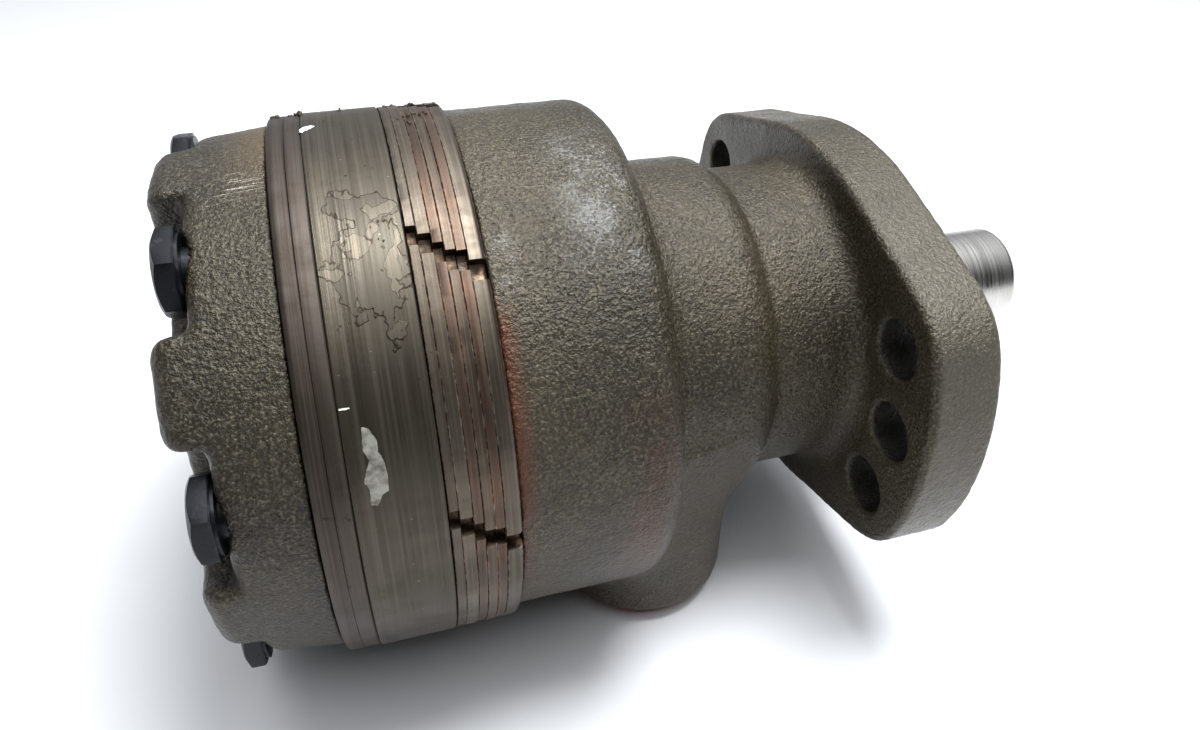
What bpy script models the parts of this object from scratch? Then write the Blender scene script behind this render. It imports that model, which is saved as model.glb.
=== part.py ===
"""Low-speed hydraulic motor with a roller-stator gear set, laminated manifold and mounting flange.

Frame: shaft axis along X (shaft end towards +X), ports facing -Z, long axis of the mounting flange
along Y, origin under the middle of the motor at the level of the port plugs. The dimensions below are
in millimetres and are measured from the shaft axis and from the joint between stator ring and manifold;
the last lines move every piece into the frame.
"""
import math

import bmesh
import bpy
from mathutils import Matrix, Vector
from mathutils.geometry import delaunay_2d_cdt

MM = 0.001
GAP = 0.3                      # clearance between neighbouring pieces, mm

# ---- driving dimensions (mm) -------------------------------------------------------------
RING_R = 63.5                  # outer radius of the stator ring
STATIONS = 7                   # rollers, cap screws and manifold notches
STEP = 360.0 / STATIONS

COVER_REAR, COVER_FRONT = -47.7, -24.3
POCKET_FLOOR, POCKET_HALF = -40.4, 15.2
BOLT_CIRCLE, BOLT_HOLE_R, BOLT_R = 53.1, 5.6, 4.8
BOLT_PHASE = 270.0
HEAD_FLATS, HEAD_HEIGHT, BOLT_TIP = 16.2, 4.8, 35.5

BALANCE_X = (-24.0, -20.65)
WEAR_X = (-20.35, -17.15)
RING_X = (-16.85, -0.15)

ROLLER_CIRCLE, ROLLER_R, ORBIT = 39.5, 7.0, 3.3
ROTOR_X = (-16.5, -0.5)
RING_BORE = 39.4
LOBES = STATIONS - 1

MANIFOLD_START, MANIFOLD_R = 0.15, 63.3
MANIFOLD_THICK = (1.65, 2.25, 1.75, 1.75, 1.75, 3.25)
NOTCH_WIDTH, NOTCH_DEPTH = 3.9, 1.4
NOTCH_START = 120.3
NOTCH_SHIFT = (0.0, 1.9, 3.8, 5.6, 5.9, 8.0)

DRUM_X, DRUM_R = 14.35, 61.2
NECK1_R, NECK2_R = 44.5, 39.8
FLANGE_X = (102.2, 119.0)
FLANGE_END_R, FLANGE_CORNER_R, FLANGE_WAIST_R, FLANGE_WAIST = 67.8, 9.0, 70.0, 48.6
FLANGE_SLOPE = 0.317
HOLE_CIRCLE, HOLE_R, HOLE_SPREAD = 54.0, 6.8, 22.5

PORT_X, PORT_Y, PORT_R, BOSS_R, BOSS_Z = 55.2, 19.7, 11.0, 23.0, -62.4

SHAFT_R, SHAFT_END = 13.65, 168.0
LINK_REAR, LINK_FRONT = -8.5, 50.0
SPLINE_OUT, SPLINE_IN, SPLINE_TEETH = 14.4, 12.3, 12

# ---- clean start -------------------------------------------------------------------------
for old in list(bpy.data.objects):
    bpy.data.objects.remove(old, do_unlink=True)


# ---- helpers -----------------------------------------------------------------------------
def material(name, colour, metallic=0.0, rough=0.5):
    m = bpy.data.materials.new(name)
    m.use_nodes = True
    bsdf = m.node_tree.nodes["Principled BSDF"]
    bsdf.inputs["Base Color"].default_value = (*colour, 1.0)
    bsdf.inputs["Metallic"].default_value = metallic
    bsdf.inputs["Roughness"].default_value = rough
    m.diffuse_color = (*colour, 1.0)
    return m


def make(name, verts, faces, mat, origin=(0.0, 0.0, 0.0), round_piece=True):
    """One closed mesh object; verts in mm in the shared frame."""
    origin = Vector(origin)
    mesh = bpy.data.meshes.new(name)
    mesh.from_pydata([(Vector(v) - origin) * MM for v in verts], [], faces)
    bm = bmesh.new()
    bm.from_mesh(mesh)
    bmesh.ops.recalc_face_normals(bm, faces=bm.faces)
    bm.to_mesh(mesh)
    bm.free()
    obj = bpy.data.objects.new(name, mesh)
    obj.location = origin * MM
    bpy.context.scene.collection.objects.link(obj)
    if mat is not None:
        mesh.materials.append(mat)
    if round_piece:
        smooth(obj)
    return obj


def smooth(obj):
    obj.data.shade_smooth()
    obj.data.set_sharp_from_angle(angle=math.radians(35))


def polar(r, deg, centre=(0.0, 0.0)):
    a = math.radians(deg)
    return (centre[0] + r * math.cos(a), centre[1] + r * math.sin(a))


def circle(r, count, centre=(0.0, 0.0), phase=0.0):
    return [polar(r, phase + 360.0 * i / count, centre) for i in range(count)]


def inside(point, loop):
    x, y = point
    hit = False
    for (x0, y0), (x1, y1) in zip(loop, loop[1:] + loop[:1]):
        if (y0 > y) != (y1 > y) and x < x0 + (y - y0) * (x1 - x0) / (y1 - y0):
            hit = not hit
    return hit


def loft(name, rings, mat, origin=(0.0, 0.0, 0.0), closed=False):
    """Skin rings of equal count; open lofts get flat caps, closed ones join last to first."""
    n = len(rings[0])
    verts = [v for ring in rings for v in ring]
    faces = []
    spans = len(rings) if closed else len(rings) - 1
    for k in range(spans):
        a, b = k * n, ((k + 1) % len(rings)) * n
        for i in range(n):
            j = (i + 1) % n
            faces.append((a + i, a + j, b + j, b + i))
    if not closed:
        last = (len(rings) - 1) * n
        faces.append(tuple(reversed(range(n))))
        faces.append(tuple(range(last, last + n)))
    return make(name, verts, faces, mat, origin)


def turned(name, profile, mat, count=40, centre=(0.0, 0.0), origin=(0.0, 0.0, 0.0), phase=0.0,
           hollow=False):
    """Revolve (x, r) points about X: solid with end caps, or a closed hollow section."""
    rings = [[(x, *p) for p in circle(r, count, centre, phase)] for x, r in profile]
    return loft(name, rings, mat, origin, closed=hollow)


def sleeve(name, x0, x1, r_in, r_out, mat, count=28):
    profile = [(x0, r_in), (x0, r_out), (x1, r_out), (x1, r_in)]
    return turned(name, profile, mat, count, hollow=True)


def plate(name, outer, holes, x0, x1, mat, origin=(0.0, 0.0, 0.0), bevel=(0.0, 0.0)):
    """Flat piece between x0 and x1 with any outline and holes, optional edge bevels."""
    def shrink(loop, by):
        out = []
        for y, z in loop:
            r = math.hypot(y, z)
            out.append((y * (r - by) / r, z * (r - by) / r))
        return out

    def cap(rim):
        loops = [rim] + holes
        pts = [Vector(p) for loop in loops for p in loop]
        edges, start = [], 0
        for loop in loops:
            n = len(loop)
            edges += [(start + i, start + (i + 1) % n) for i in range(n)]
            start += n
        out = delaunay_2d_cdt(pts, edges, [], 0, 1e-7)
        source = [ids[0] for ids in out[3]]
        tris = []
        for face in out[2]:
            mid = sum((out[0][i] for i in face), Vector((0.0, 0.0))) / len(face)
            if inside(mid, rim) and not any(inside(mid, h) for h in holes):
                tris.append([source[i] for i in face])
        return tris

    levels = [(x0, shrink(outer, bevel[0]) if bevel[0] else outer)]
    if bevel[0]:
        levels.append((x0 + bevel[0], outer))
    if bevel[1]:
        levels.append((x1 - bevel[1], outer))
    levels.append((x1, shrink(outer, bevel[1]) if bevel[1] else outer))
    n = len(outer)
    verts = [(x, *p) for x, loop in levels for p in loop]
    faces = [(a * n + i, a * n + (i + 1) % n, (a + 1) * n + (i + 1) % n, (a + 1) * n + i)
             for a in range(len(levels) - 1) for i in range(n)]
    hole_start = []
    for hole in holes:
        hole_start.append(len(verts))
        m = len(hole)
        base = len(verts)
        verts += [(x0, *p) for p in hole] + [(x1, *p) for p in hole]
        faces += [(base + i, base + (i + 1) % m, base + m + (i + 1) % m, base + m + i)
                  for i in range(m)]

    def index(local, top):
        if local < n:
            return (len(levels) - 1) * n + local if top else local
        local -= n
        for hole, base in zip(holes, hole_start):
            if local < len(hole):
                return base + local + (len(hole) if top else 0)
            local -= len(hole)
        raise ValueError("vertex outside every loop")

    for tri in cap(levels[0][1]):
        faces.append(tuple(index(i, False) for i in tri))
    for tri in cap(levels[-1][1]):
        faces.append(tuple(index(i, True) for i in reversed(tri)))
    return make(name, verts, faces, mat, origin)


def join(name, objects):
    """Merge separate cutter solids into one cutter object."""
    bm = bmesh.new()
    for obj in objects:
        mesh = obj.data.copy()
        mesh.transform(obj.matrix_basis)
        bm.from_mesh(mesh)
        bpy.data.meshes.remove(mesh)
        bpy.data.objects.remove(obj, do_unlink=True)
    mesh = bpy.data.meshes.new(name)
    bm.to_mesh(mesh)
    bm.free()
    obj = bpy.data.objects.new(name, mesh)
    bpy.context.scene.collection.objects.link(obj)
    return obj


def combine(target, tool, operation):
    """Apply an exact Boolean and drop the tool object."""
    mod = target.modifiers.new("op", "BOOLEAN")
    mod.operation, mod.object, mod.solver = operation, tool, "EXACT"
    graph = bpy.context.evaluated_depsgraph_get()
    mesh = bpy.data.meshes.new_from_object(target.evaluated_get(graph))
    mats = [m for m in target.data.materials]
    target.modifiers.clear()
    target.data = mesh
    mesh.materials.clear()
    for m in mats:
        mesh.materials.append(m)
    for poly in mesh.polygons:
        poly.material_index = 0
    bpy.data.objects.remove(tool, do_unlink=True)
    bm = bmesh.new()
    bm.from_mesh(mesh)
    bmesh.ops.remove_doubles(bm, verts=bm.verts, dist=2e-6)
    bmesh.ops.dissolve_degenerate(bm, edges=bm.edges, dist=1e-6)
    bm.to_mesh(mesh)
    bm.free()
    smooth(target)


def box_cutter(name, x0, x1, y0, y1, z0, z1, turn=0.0):
    spin = Matrix.Rotation(math.radians(turn), 3, "X")
    rings = [[tuple(spin @ Vector((x, y, z))) for y, z in ((y0, z0), (y1, z0), (y1, z1), (y0, z1))]
             for x in (x0, x1)]
    return loft(name, rings, None)


def serration(r_out, r_in, teeth, phase=0.0):
    return [polar(r_out if i % 2 == 0 else r_in, phase + 180.0 * i / teeth)
            for i in range(2 * teeth)]


# ---- materials ---------------------------------------------------------------------------
IRON = material("cast_iron", (0.105, 0.095, 0.08), 0.55, 0.62)
COVER_IRON = material("cover_cast_iron", (0.10, 0.09, 0.075), 0.55, 0.64)
PLATE_STEEL = material("plate_steel", (0.24, 0.21, 0.18), 0.8, 0.42)
RING_STEEL = material("ring_steel", (0.27, 0.24, 0.20), 0.85, 0.40)
MANIFOLD_STEEL = material("manifold_steel", (0.25, 0.19, 0.16), 0.8, 0.42)
BRIGHT = material("ground_steel", (0.62, 0.61, 0.59), 1.0, 0.24)
HARD = material("hardened_steel", (0.42, 0.42, 0.43), 1.0, 0.28)
SCREW = material("black_screw", (0.035, 0.036, 0.04), 0.7, 0.40)
BRONZE = material("bearing_bronze", (0.50, 0.33, 0.14), 1.0, 0.35)
RUBBER = material("seal_rubber", (0.03, 0.03, 0.03), 0.0, 0.6)
RED = material("red_plastic", (0.55, 0.03, 0.02), 0.0, 0.42)

bolt_angles = [BOLT_PHASE + STEP * i for i in range(STATIONS)]
roller_angles = [90.0 + STEP * i for i in range(STATIONS)]
bolt_centres = [polar(BOLT_CIRCLE, a) for a in bolt_angles]
bolt_holes = [circle(BOLT_HOLE_R, 8, c) for c in bolt_centres]
rim = circle(RING_R - 0.4, 56, phase=BOLT_PHASE)

# ---- end cover ---------------------------------------------------------------------------
cover = turned("end_cover", [
    (COVER_FRONT, 61.3), (-31.0, 60.5), (-38.0, 59.8), (-43.6, 59.3), (-46.3, 58.0),
    (-47.4, 55.8), (COVER_REAR, 54.0), (COVER_REAR, 20.0), (-46.6, 17.5)], COVER_IRON, 49,
    phase=BOLT_PHASE)
pockets = []
for i, a in enumerate(bolt_angles):
    spin = Matrix.Rotation(math.radians(a), 3, "X")
    arc = [polar(POCKET_HALF, 90.0 + 180.0 * k / 8, (BOLT_CIRCLE, 0.0)) for k in range(9)]
    outline = arc + [(75.0, -POCKET_HALF), (75.0, POCKET_HALF)]
    rings = [[tuple(spin @ Vector((x, *p))) for p in outline] for x in (-60.0, POCKET_FLOOR)]
    pockets.append(loft("pocket", rings, None))
combine(cover, join("cover_pockets", pockets), "DIFFERENCE")
drills = [turned("drill", [(-45.0, BOLT_HOLE_R), (-20.0, BOLT_HOLE_R)], None, 8, c)
          for c in bolt_centres]
drills.append(turned("seal_groove", [(-26.2, 44.0), (-20.0, 44.0), (-20.0, 46.6), (-26.2, 46.6)],
                     None, 40, hollow=True))
combine(cover, join("cover_drills", drills), "DIFFERENCE")

# ---- plates, stator ring, rollers, rotor -------------------------------------------------
plate("balance_plate", rim, bolt_holes, *BALANCE_X, PLATE_STEEL, bevel=(0.9, 0.0))
plate("wear_plate", rim, bolt_holes + [circle(12.2, 20)], *WEAR_X, PLATE_STEEL)

pocket_edge = []
for a in roller_angles:
    centre = polar(ROLLER_CIRCLE, a)
    for k in range(9):
        pocket_edge.append(polar(ROLLER_R + GAP, a - 90.0 + 180.0 * k / 8, centre))
    pocket_edge += [polar(RING_BORE, a + STEP * f) for f in (0.36, 0.5, 0.64)]
plate("stator_ring", circle(RING_R, 56, phase=BOLT_PHASE), bolt_holes + [pocket_edge], *RING_X,
      RING_STEEL, bevel=(0.3, 0.3))

for i, a in enumerate(roller_angles):
    centre = polar(ROLLER_CIRCLE, a)
    turned(f"roller_{i + 1}", [(ROTOR_X[0], ROLLER_R - 0.5), (ROTOR_X[0] + 0.5, ROLLER_R),
                               (ROTOR_X[1] - 0.5, ROLLER_R), (ROTOR_X[1], ROLLER_R - 0.5)],
           HARD, 14, centre, origin=(-8.5, *centre))


def rotor_profile(count):
    """Curve that stays one roller radius plus clearance inside the path of every roller."""
    out = []
    for i in range(count):
        t = 2.0 * math.pi * i / count
        p = (ROLLER_CIRCLE * math.cos(t) - ORBIT * math.cos(STATIONS * t),
             ROLLER_CIRCLE * math.sin(t) - ORBIT * math.sin(STATIONS * t))
        d = (-ROLLER_CIRCLE * math.sin(t) + STATIONS * ORBIT * math.sin(STATIONS * t),
             ROLLER_CIRCLE * math.cos(t) - STATIONS * ORBIT * math.cos(STATIONS * t))
        size = math.hypot(*d)
        reach = ROLLER_R + GAP
        y, z = p[0] - reach * d[1] / size, p[1] + reach * d[0] / size
        out.append((-z, y + ORBIT))
    return out


orbit_centre = (0.0, ORBIT)
spline = [(y, z + ORBIT) for y, z in serration(SPLINE_OUT, SPLINE_IN, SPLINE_TEETH)]
plate("rotor", rotor_profile(84), [spline], *ROTOR_X, HARD, origin=(-8.5, *orbit_centre))

# ---- laminated manifold ------------------------------------------------------------------
x = MANIFOLD_START
for k, thick in enumerate(MANIFOLD_THICK):
    edge = []
    for i in range(STATIONS):
        a = NOTCH_START + NOTCH_SHIFT[k] + STEP * i
        half = NOTCH_WIDTH / 2
        deep = MANIFOLD_R - NOTCH_DEPTH
        edge += [polar(MANIFOLD_R, a - half), polar(deep, a - half), polar(deep, a + half),
                 polar(MANIFOLD_R, a + half)]
        span = STEP - NOTCH_WIDTH
        edge += [polar(MANIFOLD_R, a + half + span * f / 6) for f in range(1, 6)]
    windows = []
    for i in range(STATIONS):
        a = 90.0 + STEP * i + 2.2 * (k - 2.5)
        windows.append([polar(33.0, a - 4.5), polar(38.5, a - 3.9), polar(38.5, a + 3.9),
                        polar(33.0, a + 4.5)])
    bevel = (0.0, 0.7) if k == len(MANIFOLD_THICK) - 1 else (0.0, 0.0)
    plate(f"manifold_plate_{k + 1}", edge, bolt_holes + windows + [circle(18.5, 16)], x,
          x + thick, MANIFOLD_STEEL, bevel=bevel)
    x += thick + GAP

# ---- housing -----------------------------------------------------------------------------
housing = turned("housing", [
    (DRUM_X, DRUM_R - 0.5), (DRUM_X + 0.5, DRUM_R), (43.0, DRUM_R), (46.5, 60.3), (49.2, 57.6),
    (51.0, 53.0), (52.4, 48.2), (55.5, 45.4), (60.0, NECK1_R), (70.5, NECK1_R), (76.0, 43.4),
    (81.0, 41.2), (82.6, 39.9), (86.0, NECK2_R), (98.5, NECK2_R), (101.0, 40.9), (104.0, 44.0),
    (112.0, 44.0)], IRON, 48, phase=BOLT_PHASE)

side = math.hypot(1.0, FLANGE_SLOPE)
normal = (FLANGE_SLOPE / side, 1.0 / side)
tilt = math.degrees(math.atan2(normal[1], normal[0]))
waist_z = FLANGE_WAIST - FLANGE_WAIST_R
line = FLANGE_WAIST_R + normal[1] * waist_z
reach = FLANGE_END_R - FLANGE_CORNER_R
along = math.sqrt(reach ** 2 - (line - FLANGE_CORNER_R) ** 2)
corner = ((line - FLANGE_CORNER_R) * normal[0] + along * normal[1],
          (line - FLANGE_CORNER_R) * normal[1] - along * normal[0])
turn = math.degrees(math.atan2(corner[1], corner[0]))
quarter = [polar(FLANGE_END_R, turn * k / 4) for k in range(4)]
quarter += [polar(FLANGE_CORNER_R, turn + (tilt - turn) * k / 4, corner) for k in range(5)]
quarter += [polar(FLANGE_WAIST_R, tilt + (90.0 - tilt) * k / 4, (0.0, waist_z)) for k in range(5)]
half = quarter + [(-y, z) for y, z in reversed(quarter[:-1])]
outline = half + [(y, -z) for y, z in reversed(half[1:-1])]
flange_holes = [circle(HOLE_R, 16, polar(HOLE_CIRCLE, base + off))
                for base in (0.0, 180.0) for off in (-HOLE_SPREAD, 0.0, HOLE_SPREAD)]
flange = plate("flange", outline, flange_holes, *FLANGE_X, None, bevel=(1.0, 1.4))
combine(housing, flange, "UNION")

for sign in (-1.0, 1.0):
    rings = [[(PORT_X + y, sign * PORT_Y + z, h) for y, z in circle(r, 28)]
             for h, r in ((-5.0, BOSS_R), (BOSS_Z + 1.6, BOSS_R), (BOSS_Z, BOSS_R - 1.6))]
    combine(housing, loft("boss", rings, None), "UNION")

cuts = [turned("bore", [(5.0, 30.0), (76.0, 30.0), (76.0, 24.0), (99.3, 24.0), (99.3, 20.0),
                        (108.0, 20.0), (108.0, 17.5), (110.2, 17.5), (110.2, 21.0),
                        (125.0, 21.0)], None, 28)]
combine(housing, join("main_bore", cuts), "DIFFERENCE")
cuts = [turned("thread", [(5.0, BOLT_HOLE_R), (38.0, BOLT_HOLE_R)], None, 8, c)
        for c in bolt_centres]
cuts.append(turned("seal_groove", [(8.0, 44.0), (16.3, 44.0), (16.3, 46.6), (8.0, 46.6)], None, 40,
                   hollow=True))
for sign in (-1.0, 1.0):
    rings = [[(PORT_X + y, sign * PORT_Y + z, h) for y, z in circle(PORT_R, 16)]
             for h in (-75.0, -15.0)]
    cuts.append(loft("port", rings, None))
combine(housing, join("housing_drills", cuts), "DIFFERENCE")

# ---- output shaft, key, drive link -------------------------------------------------------
shaft = turned("output_shaft", [
    (17.7, 23.4), (18.3, 24.0), (30.0, 24.0), (30.0, 27.0), (38.0, 27.0), (38.0, 24.8),
    (44.0, 24.8), (44.0, 27.0), (52.0, 27.0), (52.0, 24.8), (58.0, 24.8), (58.0, 27.0),
    (68.0, 27.0), (68.0, 16.5), (99.0, 16.5), (100.0, 14.8), (118.0, 14.8), (119.2, SHAFT_R),
    (SHAFT_END - 1.2, SHAFT_R), (SHAFT_END, SHAFT_R - 1.2)], BRIGHT, 28)
socket = [[(x, *p) for p in circle(16.0, 2 * SPLINE_TEETH)] for x in (15.0, 41.0)]
socket += [[(x, *p) for p in serration(SPLINE_OUT, SPLINE_IN, SPLINE_TEETH)] for x in (41.0, 61.0)]
combine(shaft, loft("socket", socket, None), "DIFFERENCE")
combine(shaft, box_cutter("keyway", 132.0, 162.0, -3.5, 3.5, 10.2, 20.0, turn=-135.0), "DIFFERENCE")
key_spin = Matrix.Rotation(math.radians(-135.0), 3, "X")
key_rings = [[tuple(key_spin @ Vector((x, y, z))) for y, z in
              ((-3.1, 10.6), (3.1, 10.6), (3.1, 16.3), (2.7, 16.7), (-2.7, 16.7), (-3.1, 16.3))]
             for x in (132.4, 161.6)]
loft("shaft_key", key_rings, HARD)

lean = math.atan2(ORBIT, LINK_FRONT - LINK_REAR)
span = math.hypot(ORBIT, LINK_FRONT - LINK_REAR)
link_spin = Matrix.Rotation(lean, 3, "Y")
sections = [(-7.2, 13.0, 11.0), (-3.5, 13.55, 11.45), (0.0, 13.7, 11.6), (3.5, 13.55, 11.45),
            (7.2, 13.0, 11.0), (8.4, 9.2, 9.2), (span - 10.4, 9.2, 9.2), (span - 9.0, 12.9, 10.9),
            (span - 4.5, 13.5, 11.4), (span, 13.7, 11.6), (span + 4.5, 13.5, 11.4),
            (span + 9.0, 12.9, 10.9)]
rings = []
for s, r_out, r_in in sections:
    ring = [link_spin @ Vector((s, *p)) for p in serration(r_out, r_in, SPLINE_TEETH)]
    rings.append([(v.x + LINK_REAR, v.y, v.z + ORBIT) for v in ring])
loft("drive_link", rings, HARD, origin=(LINK_REAR, 0.0, ORBIT))
turned("drive_spacer", [(-20.05, 7.6), (-19.65, 8.0), (-17.5, 8.0), (-17.1, 7.6)], HARD, 20,
       orbit_centre, origin=(-18.5, 0.0, 0.0))

# ---- bearings and seals ------------------------------------------------------------------
sleeve("rear_bearing_cup", 17.0, 29.4, 27.4, 29.7, HARD)
sleeve("rear_bearing_cage", 18.2, 28.6, 24.35, 27.05, BRONZE)
sleeve("thrust_washer_shaft", 68.3, 70.3, 16.85, 29.5, HARD)
sleeve("thrust_bearing_cage", 70.6, 73.4, 17.4, 29.0, BRONZE)
sleeve("thrust_washer_housing", 73.7, 75.7, 17.4, 29.6, HARD)
sleeve("front_bearing_cup", 76.6, 98.8, 20.3, 23.65, HARD)
sleeve("front_bearing_cage", 77.6, 97.8, 16.9, 19.95, BRONZE)
sleeve("shaft_seal", 100.4, 106.5, 15.15, 19.65, RUBBER)
sleeve("seal_backup_washer", 106.8, 107.7, 15.4, 19.65, HARD)
sleeve("dust_seal", 110.5, 114.9, 15.15, 20.65, RUBBER)
sleeve("retaining_ring", 115.2, 116.6, 17.2, 20.65, SCREW)
sleeve("body_seal_rear", -26.0, -24.35, 44.3, 46.3, RUBBER, count=40)
sleeve("body_seal_front", 14.4, 16.05, 44.3, 46.3, RUBBER, count=40)

# ---- cap screws --------------------------------------------------------------------------
head_turn = (11.0, 4.0, 22.0, 9.0, -8.0, 5.0, 16.0)
floor = POCKET_FLOOR - GAP
corner_r = HEAD_FLATS / 2 / math.cos(math.radians(30.0))


def hexagon(r_corner, phase, centre):
    flat = r_corner * math.cos(math.radians(30.0))
    return [polar(r_corner if i % 2 == 0 else flat, phase + 30.0 * i, centre) for i in range(12)]


for i, (a, centre) in enumerate(zip(bolt_angles, bolt_centres)):
    ph = a + head_turn[i]
    rings = [(floor - HEAD_HEIGHT, circle(HEAD_FLATS / 2 * 0.94, 12, centre, ph)),
             (floor - HEAD_HEIGHT + 0.7, hexagon(corner_r, ph, centre)),
             (floor - 0.6, hexagon(corner_r, ph, centre)),
             (floor - 0.6, circle(HEAD_FLATS / 2 * 0.95, 12, centre, ph)),
             (floor, circle(HEAD_FLATS / 2 * 0.95, 12, centre, ph)),
             (floor, circle(BOLT_R, 12, centre, ph)),
             (BOLT_TIP - 1.0, circle(BOLT_R, 12, centre, ph)),
             (BOLT_TIP, circle(BOLT_R - 1.0, 12, centre, ph))]
    loft(f"cap_screw_{i + 1}", [[(x, *p) for p in loop] for x, loop in rings], SCREW,
         origin=(floor, *centre))

# ---- transport plugs ---------------------------------------------------------------------
for i, sign in enumerate((-1.0, 1.0)):
    face = BOSS_Z - GAP
    rings = [[(PORT_X + y, sign * PORT_Y + z, h) for y, z in circle(r, 20)]
             for h, r in ((-46.0, 9.2), (-47.0, 10.2), (face, 10.4), (face, 18.8),
                          (face - 0.3, 19.2), (face - 2.5, 19.2), (face - 3.0, 18.4),
                          (face - 3.0, 8.0), (face - 1.6, 7.6))]
    loft(f"port_plug_{i + 1}", rings, RED)

# ---- move into the frame: origin at the bottom centre ------------------------------------
BOTTOM = BOSS_Z - GAP - 3.0
MIDDLE = (COVER_REAR + SHAFT_END) / 2
for piece in bpy.data.objects:
    piece.location -= Vector((MIDDLE, 0.0, BOTTOM)) * MM
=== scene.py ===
import math

import bpy
import numpy as np
from mathutils import Matrix, Vector
from mathutils.geometry import delaunay_2d_cdt


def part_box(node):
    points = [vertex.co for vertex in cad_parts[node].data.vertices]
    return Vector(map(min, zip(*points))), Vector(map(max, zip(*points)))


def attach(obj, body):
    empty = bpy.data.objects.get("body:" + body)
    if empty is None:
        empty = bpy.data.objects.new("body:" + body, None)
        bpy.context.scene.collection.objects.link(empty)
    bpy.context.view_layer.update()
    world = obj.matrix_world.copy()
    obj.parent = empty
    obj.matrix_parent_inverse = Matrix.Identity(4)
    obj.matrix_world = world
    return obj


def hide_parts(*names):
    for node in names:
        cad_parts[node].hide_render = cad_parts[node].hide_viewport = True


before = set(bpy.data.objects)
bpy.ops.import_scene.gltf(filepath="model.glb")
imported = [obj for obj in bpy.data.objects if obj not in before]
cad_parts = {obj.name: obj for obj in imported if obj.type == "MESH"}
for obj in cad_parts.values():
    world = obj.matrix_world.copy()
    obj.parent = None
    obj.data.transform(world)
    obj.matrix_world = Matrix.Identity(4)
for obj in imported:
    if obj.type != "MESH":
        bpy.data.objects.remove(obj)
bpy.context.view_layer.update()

# ---- where things are: millimetres from the shaft axis and the ring/manifold joint ---------------------
MM = 0.001
ring_lo, ring_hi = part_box("stator_ring")
JOINT_X = ring_hi[0] / MM + 0.15
AXIS_Z = (ring_lo[2] + ring_hi[2]) / 2 / MM
STATIONS, STEP = 7, 360.0 / 7
BOLT_CIRCLE, BOLT_PHASE = 53.1, 270.0
FLANGE_HOLE_CIRCLE, FLANGE_HOLE_R = 54.0, 6.9
RING_R, PLATE_R, LAMINATION_R = 63.5, 63.15, 63.3
COVER_FRONT, HOUSING_REAR = -24.35, 14.35
PORT_X, PORT_Y = 55.2, 19.7
FINE = 0.72


def polar(r, deg, centre=(0.0, 0.0)):
    a = math.radians(deg)
    return (centre[0] + r * math.cos(a), centre[1] + r * math.sin(a))


def circle(r, count, centre=(0.0, 0.0)):
    return [polar(r, 360.0 * i / count, centre) for i in range(count)]


bolt_angles = [BOLT_PHASE + STEP * i for i in range(STATIONS)]
bolt_centres = [polar(BOLT_CIRCLE, a) for a in bolt_angles]
FLANGE_HOLES = [polar(FLANGE_HOLE_CIRCLE, base + off) for base in (0.0, 180.0) for off in (-22.5, 0.0, 22.5)]


# ---- mesh helpers --------------------------------------------------------------------------------------


def piece(name, verts, faces, mat, body, nodes=(), smooth=35.0):
    """Mesh object from points in axis millimetres, riding on a body and standing for CAD nodes."""
    v = np.asarray(verts, dtype=np.float64).copy()
    v[:, 0] += JOINT_X
    v[:, 2] += AXIS_Z
    mesh = bpy.data.meshes.new(name)
    if isinstance(faces, np.ndarray) and faces.ndim == 2:
        count, size = faces.shape
        mesh.vertices.add(len(v))
        mesh.vertices.foreach_set("co", (v * MM).astype(np.float32).ravel())
        mesh.loops.add(count * size)
        mesh.loops.foreach_set("vertex_index", faces.astype(np.int32).ravel())
        mesh.polygons.add(count)
        mesh.polygons.foreach_set("loop_start", np.arange(0, count * size, size, dtype=np.int32))
        mesh.update(calc_edges=True)
        mesh.validate()
    else:
        mesh.from_pydata([tuple(p) for p in v * MM], [], faces)
        mesh.update()
    mesh.shade_smooth()
    if smooth is not None:
        mesh.set_sharp_from_angle(angle=math.radians(smooth))
    obj = bpy.data.objects.new(name, mesh)
    bpy.context.scene.collection.objects.link(obj)
    mesh.materials.append(mat)
    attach(obj, body)
    if nodes:
        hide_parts(*nodes)
    return obj


def loft(rings):
    """Vertices and faces that skin rings of equal count (faces point out for rings along +X)."""
    n = len(rings[0])
    verts = [p for ring in rings for p in ring]
    faces = []
    last = (len(rings) - 1) * n
    for a in range(0, last, n):
        faces += [(a + i, a + (i + 1) % n, a + n + (i + 1) % n, a + n + i) for i in range(n)]
    faces.append(tuple(reversed(range(n))))
    faces.append(tuple(range(last, last + n)))
    return verts, faces


def inside(point, loop):
    x, y = point
    hit = False
    for (x0, y0), (x1, y1) in zip(loop, loop[1:] + loop[:1]):
        if (y0 > y) != (y1 > y) and x < x0 + (y - y0) * (x1 - x0) / (y1 - y0):
            hit = not hit
    return hit


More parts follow.
